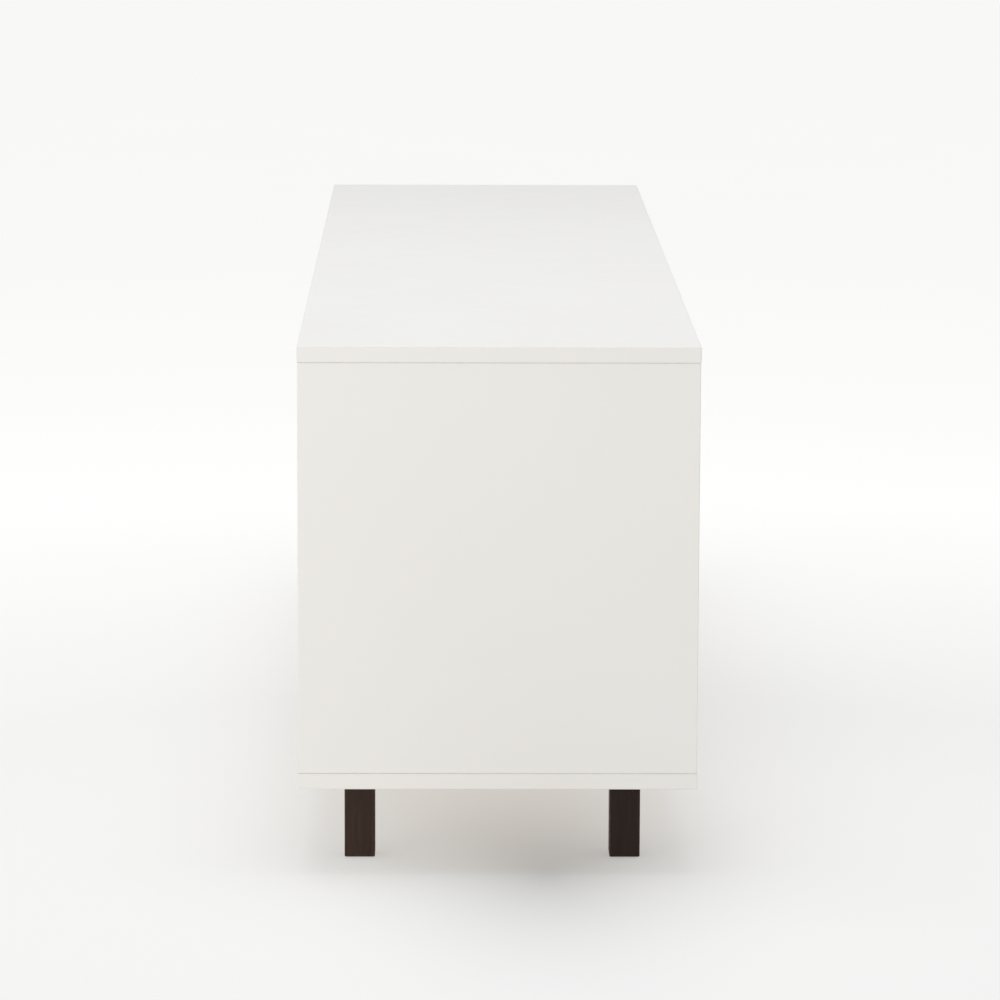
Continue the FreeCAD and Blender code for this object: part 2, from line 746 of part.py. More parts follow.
def latch_screws():
    screws = []
    for side in SIDES:
        for point, shank in zip(latch_lug_points(side), latch_screw_shanks(side)):
            screws.append(shank.fuse(pan_head(LUG_HEAD_RADIUS, point, DOWN, LUG_HEAD_HEIGHT)))
    return group(screws)


# ---- The whole cabinet ----


def carcass():
    nodes = {"top_board": top_board(), "bottom_board": bottom_board()}
    for name in UPRIGHTS:
        nodes[name] = upright(name)
    for bay in BAYS:
        nodes["back_panel_" + bay] = back_panel(bay)
        nodes["cable_grommet_" + bay] = cable_grommet(bay)
        nodes["shelf_" + bay] = shelf(bay)
    nodes["shelf_pins"] = shelf_pins()
    nodes["cam_locks"] = group([cam_lock(*place) for place in each_fitting(FITTING_ROWS)])
    nodes["cam_bolts"] = group([cam_bolt(end, way) for _, end, way in each_fitting(FITTING_ROWS)])
    nodes["dowels"] = group([chamfered_dowel(end, way) for _, end, way in each_fitting(DOWEL_ROWS)])
    return nodes


def legs():
    nodes = {}
    for place in LEGS:
        nodes["leg_" + place] = leg(place)
        nodes["leg_plate_" + place] = leg_plate(place)
        nodes["glide_" + place] = glide(place)
    nodes["leg_bolts"] = group([hanger_bolt(place) for place in LEGS])
    nodes["leg_plate_screws"] = leg_plate_screws()
    return nodes


def doors():
    nodes = {}
    for side in SIDES:
        nodes["door_" + side] = door(side)
        nodes["pivot_screws_" + side] = pivot_screws(side)
        nodes["latch_strike_" + side] = latch_strike(side)
        for end in ("top", "bottom"):
            nodes["pivot_plate_" + side + "_" + end] = pivot_plate(side, end)
            nodes["pivot_bush_" + side + "_" + end] = pivot_bush(side, end)
    return nodes


def latches():
    nodes = {"latch_screws": latch_screws()}
    for side in SIDES:
        nodes["latch_housing_" + side] = latch_housing(side)
        nodes["latch_plunger_" + side] = latch_plunger(side)
        nodes["latch_magnet_" + side] = latch_magnet(side)
        nodes["latch_spring_" + side] = latch_spring(side)
    return nodes


os.makedirs("parts", exist_ok=True)
for builder in (carcass, legs, doors, latches):
    for node, shape in builder().items():
        shape.exportStep(os.path.join("parts", node + ".step"))
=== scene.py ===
import json
import math

import bmesh
import bpy
from mathutils import Matrix, Vector

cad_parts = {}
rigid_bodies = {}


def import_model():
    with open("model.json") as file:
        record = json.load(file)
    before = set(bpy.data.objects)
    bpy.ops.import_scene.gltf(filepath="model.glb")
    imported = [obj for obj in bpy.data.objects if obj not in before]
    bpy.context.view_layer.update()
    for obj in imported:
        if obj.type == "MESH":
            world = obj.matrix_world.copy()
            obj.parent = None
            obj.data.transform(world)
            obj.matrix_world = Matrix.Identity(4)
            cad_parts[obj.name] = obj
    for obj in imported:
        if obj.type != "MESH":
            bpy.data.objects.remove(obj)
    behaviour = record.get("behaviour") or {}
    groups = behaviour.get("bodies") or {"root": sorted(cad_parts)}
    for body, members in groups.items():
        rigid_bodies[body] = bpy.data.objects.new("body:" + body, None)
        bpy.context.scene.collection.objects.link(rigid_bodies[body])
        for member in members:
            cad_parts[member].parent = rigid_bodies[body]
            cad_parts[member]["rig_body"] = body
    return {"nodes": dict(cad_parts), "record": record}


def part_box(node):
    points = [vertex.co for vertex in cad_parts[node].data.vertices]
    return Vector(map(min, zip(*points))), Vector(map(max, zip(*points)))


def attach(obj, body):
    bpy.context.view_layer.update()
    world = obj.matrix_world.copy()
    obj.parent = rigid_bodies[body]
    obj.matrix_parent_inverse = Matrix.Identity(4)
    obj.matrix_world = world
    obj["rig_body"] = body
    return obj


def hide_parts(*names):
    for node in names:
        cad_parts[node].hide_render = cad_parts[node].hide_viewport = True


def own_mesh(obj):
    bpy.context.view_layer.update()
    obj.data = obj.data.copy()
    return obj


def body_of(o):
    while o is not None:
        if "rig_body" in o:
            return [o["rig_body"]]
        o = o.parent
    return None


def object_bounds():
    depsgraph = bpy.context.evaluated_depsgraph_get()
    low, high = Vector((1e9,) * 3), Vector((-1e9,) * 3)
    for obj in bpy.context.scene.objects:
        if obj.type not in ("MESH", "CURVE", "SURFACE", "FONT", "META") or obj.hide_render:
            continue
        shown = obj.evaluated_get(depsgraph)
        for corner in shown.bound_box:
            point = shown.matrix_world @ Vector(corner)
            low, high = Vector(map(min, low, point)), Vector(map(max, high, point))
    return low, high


# A low cabinet for a television: white lacquered boards, two doors and five dark stained legs.
# Metres, in the frame's own axes: X along the cabinet, the doors face -Y, Z is up.

MM = 0.001

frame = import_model()
cad_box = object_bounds()
low, high = cad_box

# ---- Camera: at the left end, a little above the top, with a long lens ----

VIEW_DISTANCE = 4.578
EYE_HEIGHT = 1.154
EYE_ASIDE = 0.054
TURN_RIGHT = math.radians(0.692)
LOOK_DOWN = math.radians(9.560)
ROLL = math.radians(0.20)
LENS = 168.7
SENSOR = 36.0
FARTHEST_SEEN = 200.0


def make_camera():
    data = bpy.data.cameras.new("camera")
    data.lens = LENS
    data.sensor_width = SENSOR
    data.clip_end = FARTHEST_SEEN
    camera = bpy.data.objects.new("camera", data)
    bpy.context.scene.collection.objects.link(camera)
    bpy.context.scene.camera = camera
    forward = Vector((math.cos(LOOK_DOWN), 0.0, -math.sin(LOOK_DOWN)))
    forward.rotate(Matrix.Rotation(-TURN_RIGHT, 3, "Z"))
    level_right = forward.cross(Vector((0.0, 0.0, 1.0))).normalized()
    level_up = level_right.cross(forward)
    right = level_right * math.cos(ROLL) + level_up * math.sin(ROLL)
    up = level_up * math.cos(ROLL) - level_right * math.sin(ROLL)
    turn = Matrix((right, up, -forward)).transposed().to_4x4()
    camera.matrix_world = Matrix.Translation((low.x - VIEW_DISTANCE, EYE_ASIDE, EYE_HEIGHT)) @ turn


# ---- Node helpers ----


class Nodes:
    """A short way to write the nodes of one material or world."""

    def __init__(self, tree):
        self.tree = tree
        tree.nodes.clear()

    def add(self, kind, **settings):
        node = self.tree.nodes.new("ShaderNode" + kind)
        for name, value in settings.items():
            setattr(node, name, value)
        return node

    def put(self, value, socket):
        """Links a socket, or sets a plain number, vector or colour."""
        if isinstance(value, bpy.types.NodeSocket):
            self.tree.links.new(value, socket)
        elif socket.type == "RGBA":
            socket.default_value = (*value, 1.0)
        else:
            socket.default_value = value

    def maths(self, operation, *values, clamp=False):
        node = self.add("Math", operation=operation, use_clamp=clamp)
        for value, socket in zip(values, node.inputs):
            self.put(value, socket)
        return node.outputs[0]

    def vectors(self, operation, *values):
        node = self.add("VectorMath", operation=operation)
        for value, socket in zip(values, node.inputs):
            self.put(value, socket)
        return node.outputs[0]

    def length(self, vector):
        node = self.add("VectorMath", operation="LENGTH")
        self.put(vector, node.inputs[0])
        return node.outputs["Value"]

    def place(self):
        """The point on the piece, in its own axes, in metres."""
        return self.add("TexCoord").outputs["Object"]

    def noise(self, vector, scale, detail, roughness):
        node = self.add("TexNoise")
        self.put(vector, node.inputs["Vector"])
        node.inputs["Scale"].default_value = scale
        node.inputs["Detail"].default_value = detail
        node.inputs["Roughness"].default_value = roughness
        return node.outputs["Fac"]

    def remap(self, value, from_low, from_high, to_low, to_high):
        node = self.add("MapRange")
        for limit, socket in zip((value, from_low, from_high, to_low, to_high), node.inputs):
            self.put(limit, socket)
        return node.outputs[0]

    def mix(self, factor, first, second):
        node = self.add("Mix", data_type="RGBA")
        self.put(factor, node.inputs[0])
        self.put(first, node.inputs[6])
        self.put(second, node.inputs[7])
        return node.outputs[2]

    def bump(self, height, depth, onto=None):
        node = self.add("Bump")
        node.inputs["Distance"].default_value = depth
        self.put(height, node.inputs["Height"])
        if onto is not None:
            self.put(onto, node.inputs["Normal"])
        return node.outputs[0]


def new_material(name):
    """A material with a plain Principled shader: the material, its nodes and the shader."""
    material = bpy.data.materials.new(name)
    material.use_nodes = True
    nodes = Nodes(material.node_tree)
    shader = nodes.add("BsdfPrincipled")
    output = nodes.add("OutputMaterial")
    nodes.put(shader.outputs[0], output.inputs["Surface"])
    return material, nodes, shader


def edge_distance(nodes, node_name):
    """How far a point on a board is from the nearest edge of the face it is on, in metres."""
    least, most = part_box(node_name)
    middle, half = (least + most) / 2, (most - least) / 2
    offset = nodes.vectors("ABSOLUTE", nodes.vectors("SUBTRACT", nodes.place(), middle))
    inward = nodes.add("SeparateXYZ")
    nodes.put(nodes.vectors("SUBTRACT", half, offset), inward.inputs[0])
    x, y, z = inward.outputs
    smaller = nodes.maths("MINIMUM", x, y)
    larger = nodes.maths("MAXIMUM", x, y)
    return nodes.maths("MAXIMUM", smaller, nodes.maths("MINIMUM", larger, z))


FACES_DOWN = -0.9


def underside(nodes):
    """1 where the piece's surface faces down, and 0 elsewhere."""
    facing = nodes.add("SeparateXYZ")
    nodes.put(nodes.add("TexCoord").outputs["Normal"], facing.inputs[0])
    return nodes.maths("LESS_THAN", facing.outputs[2], FACES_DOWN)


# ---- Materials ----

WHITE = (0.815, 0.797, 0.768)
WHITE_CLOUD = (0.805, 0.786, 0.755)
WHITE_RUBBED = (0.70, 0.66, 0.60)
FIBREBOARD = (0.60, 0.50, 0.38)
FIBREBOARD_DARK = (0.48, 0.38, 0.28)
BACKING = (0.80, 0.79, 0.76)
BACKING_FLECK = (0.70, 0.685, 0.65)
WENGE = (0.042, 0.021, 0.014)
WENGE_DARK = (0.022, 0.011, 0.007)
WENGE_RUBBED = (0.12, 0.075, 0.05)
# Painted shade and light per leg, as a scale on the stain's colour: the front left leg darker, the back
# left leg lighter
LEG_PAINTED_SHADE = {"leg_front_left": 0.65, "leg_back_left": 1.13, "leg_back_right": 0.90}
BEECH = (0.62, 0.42, 0.24)
BEECH_DARK = (0.45, 0.28, 0.15)
ZINC = (0.70, 0.71, 0.72)
ZINC_DULL = (0.52, 0.52, 0.50)
CAST_ZINC = (0.58, 0.59, 0.60)
CAST_ZINC_DULL = (0.40, 0.40, 0.40)
SPRING_STEEL = (0.52, 0.52, 0.53)
SPRING_STEEL_DULL = (0.34, 0.31, 0.28)
NICKEL = (0.66, 0.66, 0.68)
NICKEL_DULL = (0.50, 0.50, 0.51)
POWDER_BLACK = (0.022, 0.022, 0.024)
POWDER_DUSTED = (0.085, 0.084, 0.082)
LIGHT_PLASTIC = (0.80, 0.80, 0.78)
LIGHT_PLASTIC_MARKED = (0.70, 0.69, 0.66)
NYLON = (0.82, 0.80, 0.72)
NYLON_MARKED = (0.72, 0.69, 0.59)
DARK_PLASTIC = (0.035, 0.035, 0.036)
DARK_PLASTIC_MARKED = (0.09, 0.085, 0.08)

# Noise patterns: spots to a metre, detail and roughness
LACQUER_CLOUDS = (3.5, 4.0, 0.5)
LACQUER_SMUDGES = (22.0, 5.0, 0.6)
LACQUER_SCUFFS = (90.0, 4.0, 0.65)
LACQUER_PEEL = (420.0, 2.0, 0.5)
LACQUER_FLOW = (60.0, 2.0, 0.5)
BOARD_FIBRES = (700.0, 5.0, 0.7)
FILM_FIBRES = (900.0, 4.0, 0.7)
FILM_CLOUDS = (6.0, 3.0, 0.5)
GRAIN_SWAY = (14.0, 2.0, 0.5)
GRAIN_STREAKS = (420.0, 5.0, 0.62)
GRAIN_BANDS = (95.0, 3.0, 0.5)
GRAIN_PORES = (1500.0, 2.0, 0.7)
WOOD_SCUFFS = (160.0, 4.0, 0.65)
METAL_MOTTLE = (260.0, 4.0, 0.6)
METAL_SCRATCHES = (2600.0, 2.0, 0.5)
METAL_TARNISH = (70.0, 5.0, 0.65)
POWDER_GRAINS = (1700.0, 3.0, 0.6)
POWDER_DUST = (45.0, 5.0, 0.6)
PLASTIC_SPARK = (2200.0, 2.0, 0.6)
PLASTIC_CLOUDS = (55.0, 4.0, 0.6)
PLASTIC_MARKS = (130.0, 5.0, 0.7)

# The part of a noise's range that a pattern uses, from its first trace to its full strength
WIDE = (0.3, 0.7)
MIDDLE = (0.35, 0.65)
GRAIN_SPAN = (0.38, 0.62)
FLECK_SPAN = (0.52, 0.75)
PORE_SPAN = (0.60, 0.72)
MARK_SPAN = (0.55, 0.72)
LACQUER_SCUFF_SPAN = (0.45, 0.75)
WOOD_SCUFF_SPAN = (0.42, 0.68)
TARNISH_SPAN = (0.45, 0.70)
DUST_SPAN = (0.45, 0.75)

# How far in from an edge its wear is full, and where it ends
LACQUER_RIM = (0.4 * MM, 2.2 * MM)
WOOD_RIM = (0.3 * MM, 1.8 * MM)
POWDER_RIM = (0.2 * MM, 1.2 * MM)

LACQUER_IOR = 1.48
LACQUER_ROUGHNESS = (0.40, 0.52)
LACQUER_WEAR = 0.09
LACQUER_SCUFF_WEAR = 0.38
LACQUER_WORN_ROUGHNESS = 0.35
LACQUER_PEEL_DEPTH = 0.020 * MM
LACQUER_FLOW_DEPTH = 0.05 * MM
BARE_BOARD_ROUGHNESS = 0.4
FILM_STRETCH = (1.0, 1.0, 0.25)
FILM_FLECK = 0.6
FILM_ROUGHNESS = (0.58, 0.78)
FILM_DEPTH = 0.03 * MM
GRAIN_UPRIGHT = (1.0, 1.0, 0.045)
GRAIN_SWAY_REACH = (0.004, 0.004, 0.0)
STREAK_SHARE = 0.55
BAND_SHARE = 0.45
PORE_DARKNESS = 0.75
WOOD_WEAR = 0.55
WOOD_ROUGHNESS_SPREAD = 0.14
WOOD_SPECULAR = 0.2
STREAK_DEPTH = 0.08 * MM
PORE_DEPTH = 0.06 * MM
SCRATCH_STRETCH = (0.12, 1.0, 1.0)
SCRATCH_DEPTH = 0.01 * MM
METAL_ROUGHNESS_SPREAD = (-0.07, 0.09)
TARNISH_ROUGHNESS = 0.08
POWDER_WEAR = 0.5
POWDER_ROUGHNESS = (0.42, 0.62)
POWDER_DEPTH = 0.06 * MM
MARK_STRENGTH = 0.7
PLASTIC_ROUGHNESS_SPREAD = (-0.05, 0.1)
SPARK_DEPTH = 0.025 * MM


def white_lacquer(node_name):
    """Satin lacquer: a faint orange peel, soft clouding, and rims that handling has dulled."""
    material, nodes, shader = new_material("white_lacquer_" + node_name)
    place = nodes.place()
    cloud = nodes.remap(nodes.noise(place, *LACQUER_CLOUDS), *MIDDLE, 0.0, 1.0)
    smudge = nodes.noise(place, *LACQUER_SMUDGES)
    colour = nodes.mix(cloud, WHITE, WHITE_CLOUD)
    scuffs = nodes.remap(nodes.noise(place, *LACQUER_SCUFFS), *LACQUER_SCUFF_SPAN, 0.0, 1.0)
    rim = nodes.remap(edge_distance(nodes, node_name), *LACQUER_RIM, 1.0, 0.0)
    worn = nodes.maths("MULTIPLY_ADD", scuffs, LACQUER_SCUFF_WEAR, LACQUER_WEAR)
    wear = nodes.maths("MULTIPLY", rim, worn)
    colour = nodes.mix(wear, colour, WHITE_RUBBED)
    dullness = nodes.remap(smudge, *WIDE, *LACQUER_ROUGHNESS)
    dullness = nodes.maths("MULTIPLY_ADD", wear, LACQUER_WORN_ROUGHNESS, dullness)
    if node_name == "bottom_board":
        fibres = nodes.remap(nodes.noise(place, *BOARD_FIBRES), *WIDE, 0.0, 1.0)
        bare = underside(nodes)
        colour = nodes.mix(bare, colour, nodes.mix(fibres, FIBREBOARD_DARK, FIBREBOARD))
        dullness = nodes.maths("MULTIPLY_ADD", bare, BARE_BOARD_ROUGHNESS, dullness)
    nodes.put(colour, shader.inputs["Base Color"])
    nodes.put(dullness, shader.inputs["Roughness"])
    peel = nodes.bump(nodes.noise(place, *LACQUER_PEEL), LACQUER_PEEL_DEPTH)
    flow = nodes.bump(nodes.noise(place, *LACQUER_FLOW), LACQUER_FLOW_DEPTH, peel)
    nodes.put(flow, shader.inputs["Normal"])
    shader.inputs["IOR"].default_value = LACQUER_IOR
    return material


def white_backing(node_name):
    """Thin fibreboard under a matt white film that lets the pressed fibres show."""
    material, nodes, shader = new_material("white_backing_" + node_name)
    place = nodes.place()
    fibres = nodes.noise(nodes.vectors("MULTIPLY", place, FILM_STRETCH), *FILM_FIBRES)
    fleck = nodes.remap(fibres, *FLECK_SPAN, 0.0, FILM_FLECK)
    cloud = nodes.noise(place, *FILM_CLOUDS)
    colour = nodes.mix(fleck, nodes.mix(cloud, BACKING, WHITE_CLOUD), BACKING_FLECK)
    nodes.put(colour, shader.inputs["Base Color"])
    nodes.put(nodes.remap(fibres, *WIDE, *FILM_ROUGHNESS), shader.inputs["Roughness"])
    nodes.put(nodes.bump(fibres, FILM_DEPTH), shader.inputs["Normal"])
    return material


def wood(name, light, dark, rubbed, node_name, roughness):
    """Wood with its grain along Z: streaks, pores, annual bands and rubbed edges."""
    material, nodes, shader = new_material(name + "_" + node_name)
    place = nodes.place()
    sway = nodes.noise(place, *GRAIN_SWAY)
    bent = nodes.vectors("ADD", place, nodes.vectors("MULTIPLY", sway, GRAIN_SWAY_REACH))
    lengthwise = nodes.vectors("MULTIPLY", bent, GRAIN_UPRIGHT)
    streaks = nodes.noise(lengthwise, *GRAIN_STREAKS)
    bands = nodes.noise(lengthwise, *GRAIN_BANDS)
    pores = nodes.remap(nodes.noise(lengthwise, *GRAIN_PORES), *PORE_SPAN, 0.0, 1.0)
    grain = nodes.maths("MULTIPLY_ADD", streaks, STREAK_SHARE, nodes.maths("MULTIPLY", bands, BAND_SHARE))
    tone = nodes.remap(grain, *GRAIN_SPAN, 0.0, 1.0)
    colour = nodes.mix(nodes.maths("MULTIPLY", pores, PORE_DARKNESS), nodes.mix(tone, dark, light), dark)
    scuffs = nodes.remap(nodes.noise(place, *WOOD_SCUFFS), *WOOD_SCUFF_SPAN, 0.0, 1.0)
    rim = nodes.remap(edge_distance(nodes, node_name), *WOOD_RIM, WOOD_WEAR, 0.0)
    nodes.put(nodes.mix(nodes.maths("MULTIPLY", rim, scuffs), colour, rubbed), shader.inputs["Base Color"])
    dullness = nodes.remap(streaks, *WIDE, roughness, roughness + WOOD_ROUGHNESS_SPREAD)
    nodes.put(dullness, shader.inputs["Roughness"])
    shader.inputs["Specular IOR Level"].default_value = WOOD_SPECULAR
    ridges = nodes.bump(streaks, STREAK_DEPTH)
    pits = nodes.bump(nodes.maths("SUBTRACT", 1.0, pores), PORE_DEPTH, ridges)
    nodes.put(pits, shader.inputs["Normal"])
    return material


def dark_stained_wood(node_name):
    """The stain's colour scaled per leg as painted shade and light: the front left leg darker, the back
    left leg lighter.
    """
    depth = LEG_PAINTED_SHADE.get(node_name, 1.0)
    light = tuple(depth * value for value in WENGE)
    dark = tuple(depth * value for value in WENGE_DARK)
    return wood("dark_stained_wood", light, dark, WENGE_RUBBED, node_name, roughness=0.42)


def raw_beech(node_name):
    return wood("raw_beech", BEECH, BEECH_DARK, BEECH, node_name, roughness=0.62)


def metal(name, bright, dull, node_name, roughness, grit):
    """Metal with a mottled plating, fine scratches and a little tarnish."""
    material, nodes, shader = new_material(name + "_" + node_name)
    place = nodes.place()
    mottle = nodes.noise(place, *METAL_MOTTLE)
    scratches = nodes.noise(nodes.vectors("MULTIPLY", place, SCRATCH_STRETCH), *METAL_SCRATCHES)
    tarnish = nodes.remap(nodes.noise(place, *METAL_TARNISH), *TARNISH_SPAN, 0.0, 1.0)
    nodes.put(nodes.mix(tarnish, bright, dull), shader.inputs["Base Color"])
    shader.inputs["Metallic"].default_value = 1.0
    least, most = METAL_ROUGHNESS_SPREAD
    dullness = nodes.remap(mottle, *WIDE, roughness + least, roughness + most)
    dullness = nodes.maths("MULTIPLY_ADD", tarnish, TARNISH_ROUGHNESS, dullness)
    nodes.put(dullness, shader.inputs["Roughness"])
    coarse = nodes.bump(mottle, grit)
    nodes.put(nodes.bump(scratches, SCRATCH_DEPTH, coarse), shader.inputs["Normal"])
    return material


def zinc(node_name):
    return metal("zinc", ZINC, ZINC_DULL, node_name, roughness=0.30, grit=0.02 * MM)


def cast_zinc(node_name):
    return metal("cast_zinc", CAST_ZINC, CAST_ZINC_DULL, node_name, roughness=0.46, grit=0.08 * MM)


def spring_steel(node_name):
    return metal("spring_steel", SPRING_STEEL, SPRING_STEEL_DULL, node_name, roughness=0.28, grit=0.01 * MM)


def magnet(node_name):
    return metal("magnet", NICKEL, NICKEL_DULL, node_name, roughness=0.16, grit=0.01 * MM)


def black_steel(node_name):
    """Powder coat: small even bumps, with paler scuffs on the rims."""
    material, nodes, shader = new_material("black_steel_" + node_name)
    place = nodes.place()
    grains = nodes.noise(place, *POWDER_GRAINS)
    dust = nodes.remap(nodes.noise(place, *POWDER_DUST), *DUST_SPAN, 0.0, POWDER_WEAR)
    rim = nodes.remap(edge_distance(nodes, node_name), *POWDER_RIM, POWDER_WEAR, 0.0)
    wear = nodes.maths("ADD", dust, rim, clamp=True)
    nodes.put(nodes.mix(wear, POWDER_BLACK, POWDER_DUSTED), shader.inputs["Base Color"])
    nodes.put(nodes.remap(grains, *WIDE, *POWDER_ROUGHNESS), shader.inputs["Roughness"])
    nodes.put(nodes.bump(grains, POWDER_DEPTH), shader.inputs["Normal"])
    return material


def plastic(name, colour, marked, node_name, roughness):
    """Moulded plastic: a fine spark texture, a soft shade in the colour and handling marks."""
    material, nodes, shader = new_material(name + "_" + node_name)
    place = nodes.place()
    spark = nodes.noise(place, *PLASTIC_SPARK)
    cloud = nodes.noise(place, *PLASTIC_CLOUDS)
    marks = nodes.remap(nodes.noise(place, *PLASTIC_MARKS), *MARK_SPAN, 0.0, MARK_STRENGTH)
    shading = nodes.maths("MAXIMUM", cloud, marks)
    nodes.put(nodes.mix(shading, colour, marked), shader.inputs["Base Color"])
    least, most = PLASTIC_ROUGHNESS_SPREAD
    nodes.put(nodes.remap(spark, *WIDE, roughness + least, roughness + most), shader.inputs["Roughness"])
    nodes.put(nodes.bump(spark, SPARK_DEPTH), shader.inputs["Normal"])
    return material


def light_plastic(node_name):
    return plastic("light_plastic", LIGHT_PLASTIC, LIGHT_PLASTIC_MARKED, node_name, roughness=0.42)


def nylon(node_name):
    return plastic("nylon", NYLON, NYLON_MARKED, node_name, roughness=0.36)


def dark_plastic(node_name):
    return plastic("dark_plastic", DARK_PLASTIC, DARK_PLASTIC_MARKED, node_name, roughness=0.50)


MAKERS = {
    "white_lacquer": white_lacquer,
    "white_backing": white_backing,
    "dark_stained_wood": dark_stained_wood,
    "raw_beech": raw_beech,
    "zinc": zinc,
    "cast_zinc": cast_zinc,
    "black_steel": black_steel,
    "spring_steel": spring_steel,
    "magnet": magnet,
    "light_plastic": light_plastic,
    "nylon": nylon,
    "dark_plastic": dark_plastic,
}

slot_of = {row["node"]: row["material_slot"] for row in frame["record"]["subparts"]}


def material_for(node_name):
    return MAKERS[slot_of[node_name]](node_name)


def dress_cad_nodes():
    for name, piece in frame["nodes"].items():
        piece.data.materials.clear()
        piece.data.materials.append(material_for(name))


# ---- Small pieces with more detail than the CAD's, each built where the CAD's stands ----

WELD = 0.001 * MM
MICROMETRE_PLACES = 6
SHARP = math.radians(32.0)

CORNER_STEPS = 4
HEAD_SIDES = 36
HEAD_RINGS = 12
CROSS_REACH = 0.62
CROSS_WIDTH = 0.27
CROSS_DEPTH = 0.30
CROSS_SOFTNESS = 0.10

THREAD_STEPS = 6
THREAD_ROOT = 0.70
THREAD_CREST = 0.60
THREAD_END = 0.8

# Shares of a piece's radius at which the middle of a flat face and the tip of a point close
FACE_MIDDLE = 0.1
POINT_TIP = 0.05

# A screw head's rim: the share of the radius where it begins to round, the share of the dome's
# height there, and the shares of the rim's own height that the two roundings take
RIM_START = 0.98
RIM_DROP = 0.97
RIM_UPPER = 0.15
RIM_LOWER = 0.1

# A screw's point: its length in shank radii, and how far along it the root narrows
POINT_LENGTH = 2.4
POINT_NARROWS = 0.4


def solid_boxes(node_name):
    """The lowest and highest corner of each separate solid of a CAD node."""
    form = bmesh.new()
    form.from_mesh(frame["nodes"][node_name].data)
    bmesh.ops.remove_doubles(form, verts=form.verts, dist=WELD)
    boxes = []
    waiting = set(form.verts)
    while waiting:
        solid = [waiting.pop()]
        # The list grows as neighbours are found, and the loop goes on until none is left
        for vertex in solid:
            for edge in vertex.link_edges:
                neighbour = edge.other_vert(vertex)
                if neighbour in waiting:
                    waiting.remove(neighbour)
                    solid.append(neighbour)
        columns = list(zip(*(vertex.co for vertex in solid)))
        boxes.append((Vector(map(min, columns)), Vector(map(max, columns))))
    form.free()
    return sorted(boxes, key=lambda box: [round(value, MICROMETRE_PLACES) for value in box[0]])


def finish_piece(form, node_name):
    """Makes the form a piece that stands for a CAD node, with that node's body and finish."""
    mesh = bpy.data.meshes.new(node_name + "_piece")
    bmesh.ops.recalc_face_normals(form, faces=form.faces)
    form.to_mesh(mesh)
    form.free()
    mesh.shade_smooth()
    mesh.set_sharp_from_angle(angle=SHARP)
    mesh.materials.append(material_for(node_name))
    piece = bpy.data.objects.new(node_name + "_piece", mesh)
    bpy.context.scene.collection.objects.link(piece)
    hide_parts(node_name)
    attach(piece, body_of(frame["nodes"][node_name])[0])
    return piece


def upright_place(box, upwards):
    """The axes of an upright piece: its foot is the box's lower end, or its upper end."""
    least, most = box
    middle = (least + most) / 2
    if upwards:
        return Matrix.Translation((middle.x, middle.y, least.z))
    return Matrix.Translation((middle.x, middle.y, most.z)) @ Matrix.Rotation(math.pi, 4, "X")


def is_above(box):
    """Whether a box is in the upper half of the cabinet."""
    return box[0].z + box[1].z > low.z + high.z


def join_loops(form, loops):
    """Faces between each ring of vertices and the next."""
    for first, second in zip(loops, loops[1:]):
        for side in range(len(first)):
            form.faces.new((first[side], first[side - 1], second[side - 1], second[side]))


def add_loops(form, rings, sides, place):
    """Rings of vertices about Z, joined by faces; each ring gives radius and height at a turn."""
    loops = []
    for ring in rings:
        loop = []
        for side in range(sides):
            turn = 2 * math.pi * side / sides
            radius, height = ring(turn)
            point = Vector((radius * math.cos(turn), radius * math.sin(turn), height))
            loop.append(form.verts.new(place @ point))
        loops.append(loop)
    join_loops(form, loops)
    return loops


def add_turned(form, rings, sides, place):
    """A solid round body about Z."""
    loops = add_loops(form, rings, sides, place)
    form.faces.new(loops[0])
    form.faces.new(loops[-1])


def add_hollow(form, rings, sides, place):
    """A round body about Z with a hole through it; the last ring joins the first."""
    loops = add_loops(form, rings, sides, place)
    join_loops(form, [loops[-1], loops[0]])


def even_ring(radius, height):
    return lambda turn: (radius, height)


def corner_rings(radius, height, rounding, first_turn, last_turn):
    """Rings round a corner of a turned body; the corner's own centre is at radius and height."""
    rings = []
    for step in range(CORNER_STEPS + 1):
        turn = math.radians(first_turn + (last_turn - first_turn) * step / CORNER_STEPS)
        rings.append(even_ring(radius + rounding * math.cos(turn), height + rounding * math.sin(turn)))
    return rings


def ramp(value, width):
    """0 below zero and 1 above, with a soft step of the given width."""
    share = min(max(value / width + 0.5, 0.0), 1.0)
    return share * share * (3 - 2 * share)


def recessed_ring(share, head_radius, dome, recess):
    """One ring of a screw's face: it rises towards the middle and dips into the cross."""

    def at(turn):
        along = max(abs(math.cos(turn)), abs(math.sin(turn))) * share
        aside = min(abs(math.cos(turn)), abs(math.sin(turn))) * share
        inside = ramp(CROSS_WIDTH / 2 - aside, CROSS_SOFTNESS) * ramp(CROSS_REACH - along, CROSS_SOFTNESS)
        return share * head_radius, dome * share * share + recess * inside

    return at


def thread_ring(height, pitch, radius, root):
    """One ring of a thread: the radius is greatest where the ridge passes."""

    def at(turn):
        phase = (height / pitch - turn / (2 * math.pi)) % 1.0
        off_ridge = abs(phase - 0.5) / (THREAD_CREST / 2)
        return max(root, radius - (radius - root) * off_ridge), height

    return at


def thread_rings(first, last, pitch, radius, root):
    count = round((last - first) / pitch * THREAD_STEPS)
    heights = [first + (last - first) * step / count for step in range(count + 1)]
    return [thread_ring(height, pitch, radius, root) for height in heights]


# Each kind of screw: the head's height and dome, the shank's radius and the thread's pitch
LEG_PLATE_SCREW = (2.0 * MM, 1.1 * MM, 2.0 * MM, 1.8 * MM)
LATCH_SCREW = (1.6 * MM, 0.9 * MM, 1.6 * MM, 1.4 * MM)
PIVOT_SCREW = (1.0 * MM, 0.12 * MM, 1.5 * MM, 1.3 * MM)


